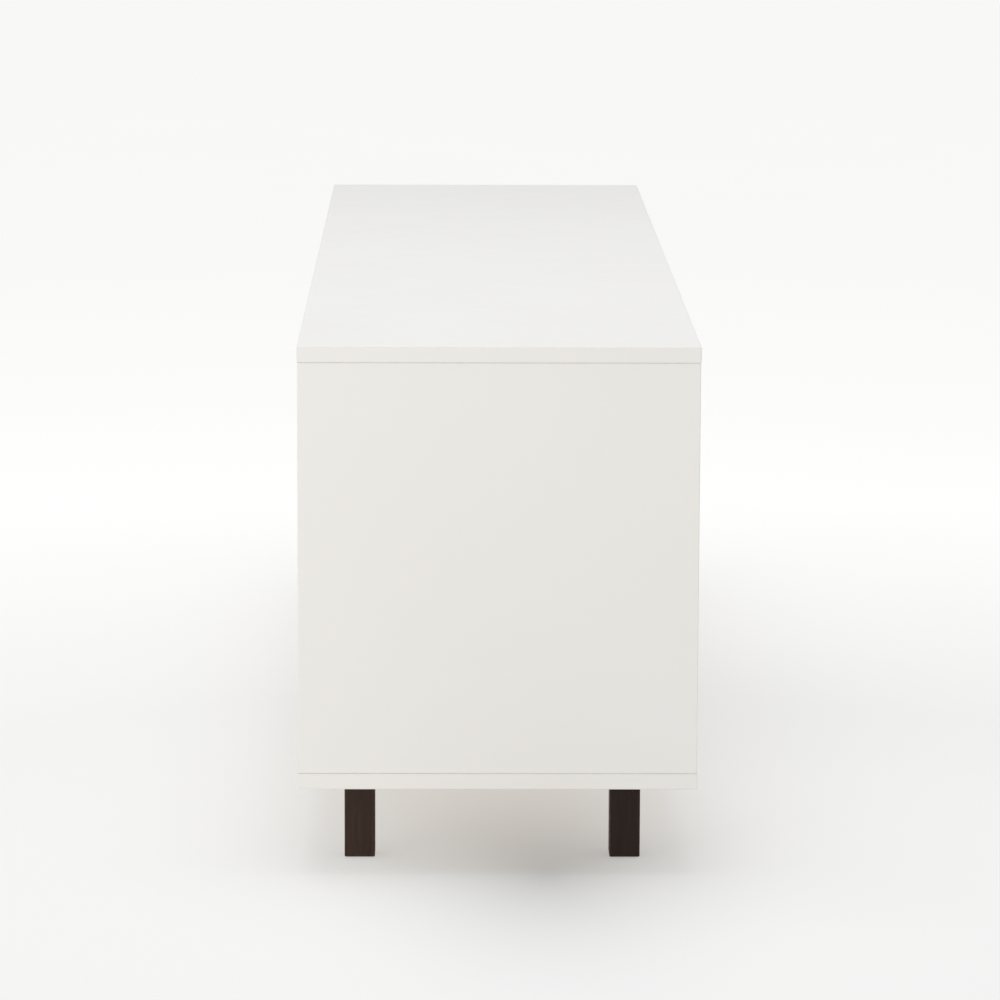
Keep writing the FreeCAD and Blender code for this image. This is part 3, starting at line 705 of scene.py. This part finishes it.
def add_screw(form, place, box, kind):
    """A wood screw that fills a box: its face is at Z = 0 and its point at the far end."""
    head_height, dome, shank_radius, pitch = kind
    head_radius = (box[1].x - box[0].x) / 2
    length = box[1].z - box[0].z
    recess = head_height * CROSS_DEPTH
    rings = [recessed_ring(step / HEAD_RINGS, head_radius, dome, recess) for step in range(1, HEAD_RINGS)]
    rim_height = head_height - dome
    rings.append(even_ring(head_radius * RIM_START, dome * RIM_DROP))
    rings.append(even_ring(head_radius, dome + rim_height * RIM_UPPER))
    rings.append(even_ring(head_radius, head_height - rim_height * RIM_LOWER))
    rings.append(even_ring(head_radius * RIM_START, head_height))
    root = shank_radius * THREAD_ROOT
    point_start = length - POINT_LENGTH * shank_radius
    rings.append(even_ring(root, head_height))
    rings += thread_rings(head_height + pitch / 2, point_start, pitch, shank_radius, root)
    rings.append(even_ring(root * THREAD_END, point_start + (length - point_start) * POINT_NARROWS))
    rings.append(even_ring(root * POINT_TIP, length))
    add_turned(form, rings, HEAD_SIDES, place)


def make_screws(node_name, kind):
    """Screws of one kind; those above the middle of a door look up, and all others look down."""
    form = bmesh.new()
    for box in solid_boxes(node_name):
        looks_up = node_name.startswith("pivot_screws") and is_above(box)
        add_screw(form, upright_place(box, not looks_up), box, kind)
    finish_piece(form, node_name)


BOLT_HEAD = (3.5 * MM, 3.0 * MM)
BOLT_HEAD_ROUNDING = 0.75 * MM
BOLT_DOME_STARTS = -60
BOLT_NECK = (2.0 * MM, 3.0 * MM)
BOLT_SHAFT_RADIUS = 2.75 * MM
BOLT_THREAD = (2.5 * MM, 10.0 * MM, 1.6 * MM)


def make_cam_bolts():
    """Bolts with a mushroom head, a neck for the cam, a smooth shaft and a thread."""
    head_radius, head_height = BOLT_HEAD
    neck_radius, neck_length = BOLT_NECK
    thread_radius, thread_length, pitch = BOLT_THREAD
    root = thread_radius * THREAD_ROOT
    form = bmesh.new()
    for box in solid_boxes("cam_bolts"):
        length = box[1].z - box[0].z
        collar = length - thread_length
        ease = BOLT_HEAD_ROUNDING
        rings = [even_ring(head_radius * FACE_MIDDLE, 0.0), even_ring(head_radius - ease, 0.0)]
        rings += corner_rings(head_radius - ease, ease, ease, BOLT_DOME_STARTS, 0)
        rings += [even_ring(head_radius, head_height - 2 * ease), even_ring(neck_radius, head_height)]
        rings += [even_ring(neck_radius, head_height + neck_length)]
        rings += [even_ring(BOLT_SHAFT_RADIUS, head_height + neck_length + ease)]
        rings += [even_ring(BOLT_SHAFT_RADIUS, collar - ease), even_ring(root, collar)]
        rings += thread_rings(collar + pitch / 2, length - pitch, pitch, thread_radius, root)
        rings += [even_ring(root * THREAD_END, length)]
        add_turned(form, rings, HEAD_SIDES, upright_place(box, is_above(box)))
    finish_piece(form, "cam_bolts")


DOWEL_CHAMFER = 1.0 * MM
FLUTES = 20
FLUTE_SIDES = 4
FLUTE_DEPTH = 0.3 * MM


def fluted_ring(radius, height):
    return lambda turn: (radius - FLUTE_DEPTH * (0.5 - 0.5 * math.cos(FLUTES * turn)), height)


def make_dowels():
    """Beech dowels with pressed flutes and chamfered ends."""
    form = bmesh.new()
    for box in solid_boxes("dowels"):
        radius = (box[1].x - box[0].x) / 2
        length = box[1].z - box[0].z
        rings = [even_ring(radius * FACE_MIDDLE, 0.0), fluted_ring(radius - DOWEL_CHAMFER, 0.0)]
        rings += [fluted_ring(radius, DOWEL_CHAMFER), fluted_ring(radius, length - DOWEL_CHAMFER)]
        rings += [fluted_ring(radius - DOWEL_CHAMFER, length), even_ring(radius * FACE_MIDDLE, length)]
        add_turned(form, rings, FLUTES * FLUTE_SIDES, upright_place(box, True))
    finish_piece(form, "dowels")


HANGER_RADIUS = 4.0 * MM
HANGER_IN_LEG = 30.0 * MM
WOOD_PITCH = 3.0 * MM
MACHINE_PITCH = 1.25 * MM
MACHINE_ROOT = 0.86
WOOD_THREAD_START = 0.7
MACHINE_THREAD_END = 0.95


def make_leg_bolts():
    """Hanger bolts: a coarse thread in the leg and a fine one through the plate."""
    form = bmesh.new()
    for box in solid_boxes("leg_bolts"):
        length = box[1].z - box[0].z
        taper = HANGER_RADIUS
        coarse_root = HANGER_RADIUS * THREAD_ROOT
        coarse_end = HANGER_IN_LEG - WOOD_PITCH
        rings = [even_ring(HANGER_RADIUS * POINT_TIP, 0.0)]
        rings.append(even_ring(coarse_root * WOOD_THREAD_START, taper / 2))
        rings += thread_rings(taper, coarse_end, WOOD_PITCH, HANGER_RADIUS, coarse_root)
        rings.append(even_ring(HANGER_RADIUS, HANGER_IN_LEG - WOOD_PITCH / 2))
        rings.append(even_ring(HANGER_RADIUS, HANGER_IN_LEG))
        fine_root = HANGER_RADIUS * MACHINE_ROOT
        fine_start = HANGER_IN_LEG + MACHINE_PITCH
        fine_end = length - MACHINE_PITCH / 2
        rings += thread_rings(fine_start, fine_end, MACHINE_PITCH, HANGER_RADIUS, fine_root)
        rings.append(even_ring(fine_root * MACHINE_THREAD_END, length))
        add_turned(form, rings, HEAD_SIDES, upright_place(box, True))
    finish_piece(form, "leg_bolts")


GLIDE_RIM = 0.3 * MM
GLIDE_HEIGHT = 1.0 * MM
NAIL_RADIUS = 1.5 * MM
GLIDE_MIDDLE = 0.02


def make_glide(node_name):
    """A round plastic foot with a softened rim and a nail up into the leg."""
    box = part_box(node_name)
    radius = (box[1].x - box[0].x) / 2
    length = box[1].z - box[0].z
    rings = [even_ring(radius * GLIDE_MIDDLE, 0.0)]
    rings += corner_rings(radius - GLIDE_RIM, GLIDE_RIM, GLIDE_RIM, -90, 0)
    rings += corner_rings(radius - GLIDE_RIM, GLIDE_HEIGHT - GLIDE_RIM, GLIDE_RIM, 0, 90)
    rings += [even_ring(NAIL_RADIUS, GLIDE_HEIGHT), even_ring(NAIL_RADIUS, length - 2 * NAIL_RADIUS)]
    rings += [even_ring(NAIL_RADIUS * POINT_TIP, length)]
    form = bmesh.new()
    add_turned(form, rings, HEAD_SIDES, upright_place(box, True))
    finish_piece(form, node_name)


GROMMET_SIDES = 96
GROMMET_WALL = 3.0 * MM
GROMMET_RIM_WIDTH = 4.0 * MM
GROMMET_RIM = 1.5 * MM
GROMMET_ROUNDING = 0.6 * MM
GROMMET_BARB = 0.35 * MM


def facing_place(box, y, backwards):
    """The axes of a piece that lies along Y: Z runs backwards or forwards from the given y."""
    middle = (box[0] + box[1]) / 2
    turn = -math.pi / 2 if backwards else math.pi / 2
    return Matrix.Translation((middle.x, y, middle.z)) @ Matrix.Rotation(turn, 4, "X")


def make_grommet(node_name):
    """A plastic ring with a rounded rim, and a barb behind the panel that holds it in."""
    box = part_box(node_name)
    rim_radius = (box[1].x - box[0].x) / 2
    barrel = rim_radius - GROMMET_RIM_WIDTH
    inner = barrel - GROMMET_WALL
    length = box[1].y - box[0].y
    ease = GROMMET_ROUNDING
    rings = corner_rings(inner + ease, ease, ease, 180, 270)
    rings += corner_rings(rim_radius - ease, ease, ease, 270, 360)
    rings += [even_ring(rim_radius, GROMMET_RIM), even_ring(barrel, GROMMET_RIM)]
    rings += [even_ring(barrel, length - GROMMET_RIM + ease / 3)]
    rings += [even_ring(barrel + GROMMET_BARB, length - ease)]
    rings += [even_ring(barrel - ease, length), even_ring(inner + ease / 2, length)]
    rings += [even_ring(inner, length - ease / 2)]
    form = bmesh.new()
    add_hollow(form, rings, GROMMET_SIDES, facing_place(box, box[0].y, True))
    finish_piece(form, node_name)


BUSH_BORE = 2.55 * MM
BUSH_RADIUS = 5.0 * MM
BUSH_LENGTH = 10.0 * MM
BUSH_ROUNDING = 0.3 * MM


def make_bush(node_name):
    """A nylon bush with a round-edged flange; the flange is on the door's side."""
    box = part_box(node_name)
    flange_radius = (box[1].x - box[0].x) / 2
    length = box[1].z - box[0].z
    flange = length - BUSH_LENGTH
    ease = BUSH_ROUNDING
    rings = [even_ring(BUSH_BORE, ease), even_ring(BUSH_BORE + ease, 0.0)]
    rings += corner_rings(flange_radius - ease, ease, ease, -90, 0)
    rings += [even_ring(flange_radius, flange), even_ring(BUSH_RADIUS, flange)]
    rings += [even_ring(BUSH_RADIUS, length - 2 * ease), even_ring(BUSH_RADIUS - 2 * ease, length)]
    rings += [even_ring(BUSH_BORE, length)]
    form = bmesh.new()
    add_hollow(form, rings, HEAD_SIDES, upright_place(box, is_above(box)))
    finish_piece(form, node_name)


STRIKE_DIMPLE = (1.7 * MM, 0.35 * MM)
DIMPLE_PROFILE = ((0.1, 1.0), (0.7, 1.0), (1.0, 1 / 6), (1.15, 0.0))
STRIKE_ROUNDING = 0.35 * MM


def make_strike(node_name):
    """A steel disc with a round-edged rim and the dimple of the nail that holds it."""
    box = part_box(node_name)
    radius = (box[1].x - box[0].x) / 2
    thickness = box[1].y - box[0].y
    dimple, depth = STRIKE_DIMPLE
    ease = STRIKE_ROUNDING
    rings = [even_ring(dimple * across, depth * down) for across, down in DIMPLE_PROFILE]
    rings += corner_rings(radius - ease, ease, ease, -90, 0)
    rings += [even_ring(radius, thickness)]
    form = bmesh.new()
    add_turned(form, rings, HEAD_SIDES, facing_place(box, box[1].y, False))
    finish_piece(form, node_name)


MAGNET_ROUNDING = 0.4 * MM
MAGNET_DISH = (1.6 * MM, 0.25 * MM)
DISH_PROFILE = ((0.1, 1.0), (0.8, 1.0), (1.0, 0.0))


def make_magnet(node_name):
    """A plated disc with a rounded rim and a small dish in its face."""
    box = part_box(node_name)
    radius = (box[1].x - box[0].x) / 2
    thickness = box[1].y - box[0].y
    dish, depth = MAGNET_DISH
    ease = MAGNET_ROUNDING
    rings = [even_ring(dish * across, depth * down) for across, down in DISH_PROFILE]
    rings += corner_rings(radius - ease, ease, ease, -90, 0)
    rings += [even_ring(radius, thickness - ease), even_ring(radius - ease, thickness)]
    form = bmesh.new()
    add_turned(form, rings, HEAD_SIDES, facing_place(box, box[0].y, True))
    finish_piece(form, node_name)


PLUNGER_GROOVES = (8.0 * MM, 14.0 * MM, 20.0 * MM)
GROOVE_WIDTH = 1.6 * MM
GROOVE_DEPTH = 0.5 * MM
PLUNGER_CHAMFER = 1.0 * MM


def make_plunger(node_name):
    """A plastic rod with three grooves round it and a chamfered rear end."""
    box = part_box(node_name)
    radius = (box[1].x - box[0].x) / 2
    length = box[1].y - box[0].y
    ease = GROOVE_DEPTH / 2
    rings = [even_ring(radius * FACE_MIDDLE, 0.0), even_ring(radius - ease, 0.0), even_ring(radius, ease)]
    for start in PLUNGER_GROOVES:
        rings += [even_ring(radius, start), even_ring(radius - GROOVE_DEPTH, start + ease)]
        rings += [even_ring(radius - GROOVE_DEPTH, start + GROOVE_WIDTH - ease)]
        rings += [even_ring(radius, start + GROOVE_WIDTH)]
    rings += [even_ring(radius, length - PLUNGER_CHAMFER), even_ring(radius - PLUNGER_CHAMFER, length)]
    form = bmesh.new()
    add_turned(form, rings, HEAD_SIDES, facing_place(box, box[0].y, True))
    finish_piece(form, node_name)


WIRE_RADIUS = 0.4 * MM
WIRE_SIDES = 10
SPRING_TURNS = 8
SPRING_STEPS = 32


def coil_height(turns, length):
    """How far along the coil the wire is; its first and last turns lie flat on the next."""
    flat = 2 * WIRE_RADIUS
    if turns < 1:
        return turns * flat
    if turns > SPRING_TURNS - 1:
        return length - (SPRING_TURNS - turns) * flat
    return flat + (turns - 1) / (SPRING_TURNS - 2) * (length - 2 * flat)


def make_spring(node_name):
    """A wire coil with closed ends, given a mesh of its own."""
    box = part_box(node_name)
    coil_radius = (box[1].x - box[0].x) / 2 - WIRE_RADIUS
    length = box[1].y - box[0].y
    place = facing_place(box, box[0].y, True)
    form = bmesh.new()
    loops = []
    for step in range(SPRING_TURNS * SPRING_STEPS + 1):
        turns = step / SPRING_STEPS
        turn = 2 * math.pi * turns
        height = WIRE_RADIUS + coil_height(turns, length - 2 * WIRE_RADIUS)
        loop = []
        for side in range(WIRE_SIDES):
            round_wire = 2 * math.pi * side / WIRE_SIDES
            reach = coil_radius + WIRE_RADIUS * math.cos(round_wire)
            level = height + WIRE_RADIUS * math.sin(round_wire)
            point = Vector((reach * math.cos(turn), reach * math.sin(turn), level))
            loop.append(form.verts.new(place @ point))
        loops.append(loop)
    join_loops(form, loops)
    form.faces.new(loops[0])
    form.faces.new(loops[-1])
    spring = finish_piece(form, node_name)
    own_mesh(spring)


def make_small_pieces():
    """Builds every fitting that has more detail here than in the CAD."""
    make_screws("leg_plate_screws", LEG_PLATE_SCREW)
    make_screws("latch_screws", LATCH_SCREW)
    make_cam_bolts()
    make_dowels()
    make_leg_bolts()
    makers = {"glide_": make_glide, "cable_grommet_": make_grommet, "pivot_bush_": make_bush}
    for side in ("left", "right"):
        make_screws("pivot_screws_" + side, PIVOT_SCREW)
        make_strike("latch_strike_" + side)
        make_magnet("latch_magnet_" + side)
        make_plunger("latch_plunger_" + side)
        make_spring("latch_spring_" + side)
    for node_name in slot_of:
        for start, make in makers.items():
            if node_name.startswith(start):
                make(node_name)


# ---- Floor, light and air ----

FLOOR_RADIUS = 90.0
FLOOR_SIDES = 96
FLOOR_DROP = 0.2 * MM
FLOOR_PALE = (0.40, 0.40, 0.40)
FLOOR_CLOUD = (0.415, 0.415, 0.412)
FLOOR_CLOUDS = (1.6, 3.0, 0.5)
FLOOR_GLOW_COLOUR = (1.0, 0.99, 0.97)
FLOOR_GLOW_NEAR = 0.50
FLOOR_GLOW_FAR = 0.65
FLOOR_NEAR = 0.9
FLOOR_FAR = 2.3

# Round the cabinet's left end the floor glows less, a painted shadow: most so at the centre, and no less
# beyond reach
SHADE_CENTRE = (low.x, -0.05, 0.0)
SHADE_SHAPE = (1.0, 2.4, 1.0)
SHADE_DEPTH = 0.24
SHADE_REACH = 0.65
SHADE_FALL = 2.0


def make_floor():
    """A wide disc with a painted glow, so that the shadows on it stay soft, and a painted shadow round the
    cabinet's left end.
    """
    mesh = bpy.data.meshes.new("floor")
    form = bmesh.new()
    bmesh.ops.create_circle(form, cap_ends=True, radius=FLOOR_RADIUS, segments=FLOOR_SIDES)
    form.to_mesh(mesh)
    form.free()
    floor = bpy.data.objects.new("floor", mesh)
    floor.location.z = low.z - FLOOR_DROP
    bpy.context.scene.collection.objects.link(floor)
    material = bpy.data.materials.new("floor")
    material.use_nodes = True
    nodes = Nodes(material.node_tree)
    place = nodes.place()
    # Painted shadow: the glow is lowered round the cabinet's left end
    from_shade = nodes.vectors("SUBTRACT", place, SHADE_CENTRE)
    narrowed = nodes.length(nodes.vectors("MULTIPLY", from_shade, SHADE_SHAPE))
    nearness = nodes.remap(narrowed, 0.0, SHADE_REACH, 1.0, 0.0)
    shade = nodes.maths("MULTIPLY", nodes.maths("POWER", nearness, SHADE_FALL), SHADE_DEPTH)
    # Painted glow, weaker near the cabinet's left end and stronger further out
    painted_glow = nodes.remap(nodes.length(from_shade), FLOOR_NEAR, FLOOR_FAR, FLOOR_GLOW_NEAR, FLOOR_GLOW_FAR)
    cloud = nodes.noise(place, *FLOOR_CLOUDS)
    diffuse = nodes.add("BsdfDiffuse")
    nodes.put(nodes.mix(cloud, FLOOR_PALE, FLOOR_CLOUD), diffuse.inputs["Color"])
    glow = nodes.add("Emission")
    nodes.put(FLOOR_GLOW_COLOUR, glow.inputs["Color"])
    nodes.put(nodes.maths("SUBTRACT", painted_glow, shade), glow.inputs["Strength"])
    both = nodes.add("AddShader")
    nodes.put(diffuse.outputs[0], both.inputs[0])
    nodes.put(glow.outputs[0], both.inputs[1])
    output = nodes.add("OutputMaterial")
    nodes.put(both.outputs[0], output.inputs["Surface"])
    mesh.materials.append(material)


SKY_AT_HORIZON = (0.893, 0.874, 0.842)
SKY_OVERHEAD = (0.66, 0.68, 0.71)
SKY_OVERHEAD_FROM = 0.8


def make_air():
    """Even studio light from all round, a little warmer and brighter near the horizon."""
    world = bpy.data.worlds.new("air")
    world.use_nodes = True
    bpy.context.scene.world = world
    nodes = Nodes(world.node_tree)
    direction = nodes.add("SeparateXYZ")
    nodes.put(nodes.add("TexCoord").outputs["Generated"], direction.inputs[0])
    height = nodes.remap(direction.outputs[2], 0.0, SKY_OVERHEAD_FROM, 0.0, 1.0)
    background = nodes.add("Background")
    nodes.put(nodes.mix(height, SKY_AT_HORIZON, SKY_OVERHEAD), background.inputs["Color"])
    output = nodes.add("OutputWorld")
    nodes.put(background.outputs[0], output.inputs["Surface"])
    bpy.context.scene.view_settings.view_transform = "Standard"


OVERHEAD_PLACE = (-0.5, 0.16, 3.1)
OVERHEAD_AIM = (-0.4, 0.0, 0.3)
OVERHEAD_SIZE = (2.2, 1.6)
OVERHEAD_POWER = 31.5
OVERHEAD_COLOUR = (0.97, 0.99, 1.0)
FILL_PLACE = (-2.6, 1.85, 0.28)
FILL_AIM = (low.x, 0.0, 0.3)
FILL_SIZE = (1.1, 0.45)
FILL_POWER = 13.0
FILL_COLOUR = (1.0, 0.975, 0.94)


def make_softbox(name, place, aim, size, power, colour):
    data = bpy.data.lights.new(name, "AREA")
    data.shape = "RECTANGLE"
    data.size, data.size_y = size
    data.energy = power
    data.color = colour
    lamp = bpy.data.objects.new(name, data)
    lamp.location = place
    lamp.rotation_euler = (Vector(aim) - Vector(place)).to_track_quat("-Z", "Y").to_euler()
    lamp.visible_camera = False
    bpy.context.scene.collection.objects.link(lamp)


def make_lights():
    """A large soft lamp above, and a low one that reaches the left end but not the top."""
    make_softbox("overhead", OVERHEAD_PLACE, OVERHEAD_AIM, OVERHEAD_SIZE, OVERHEAD_POWER, OVERHEAD_COLOUR)
    make_softbox("fill", FILL_PLACE, FILL_AIM, FILL_SIZE, FILL_POWER, FILL_COLOUR)


make_camera()
make_floor()
make_air()
make_lights()
dress_cad_nodes()
make_small_pieces()
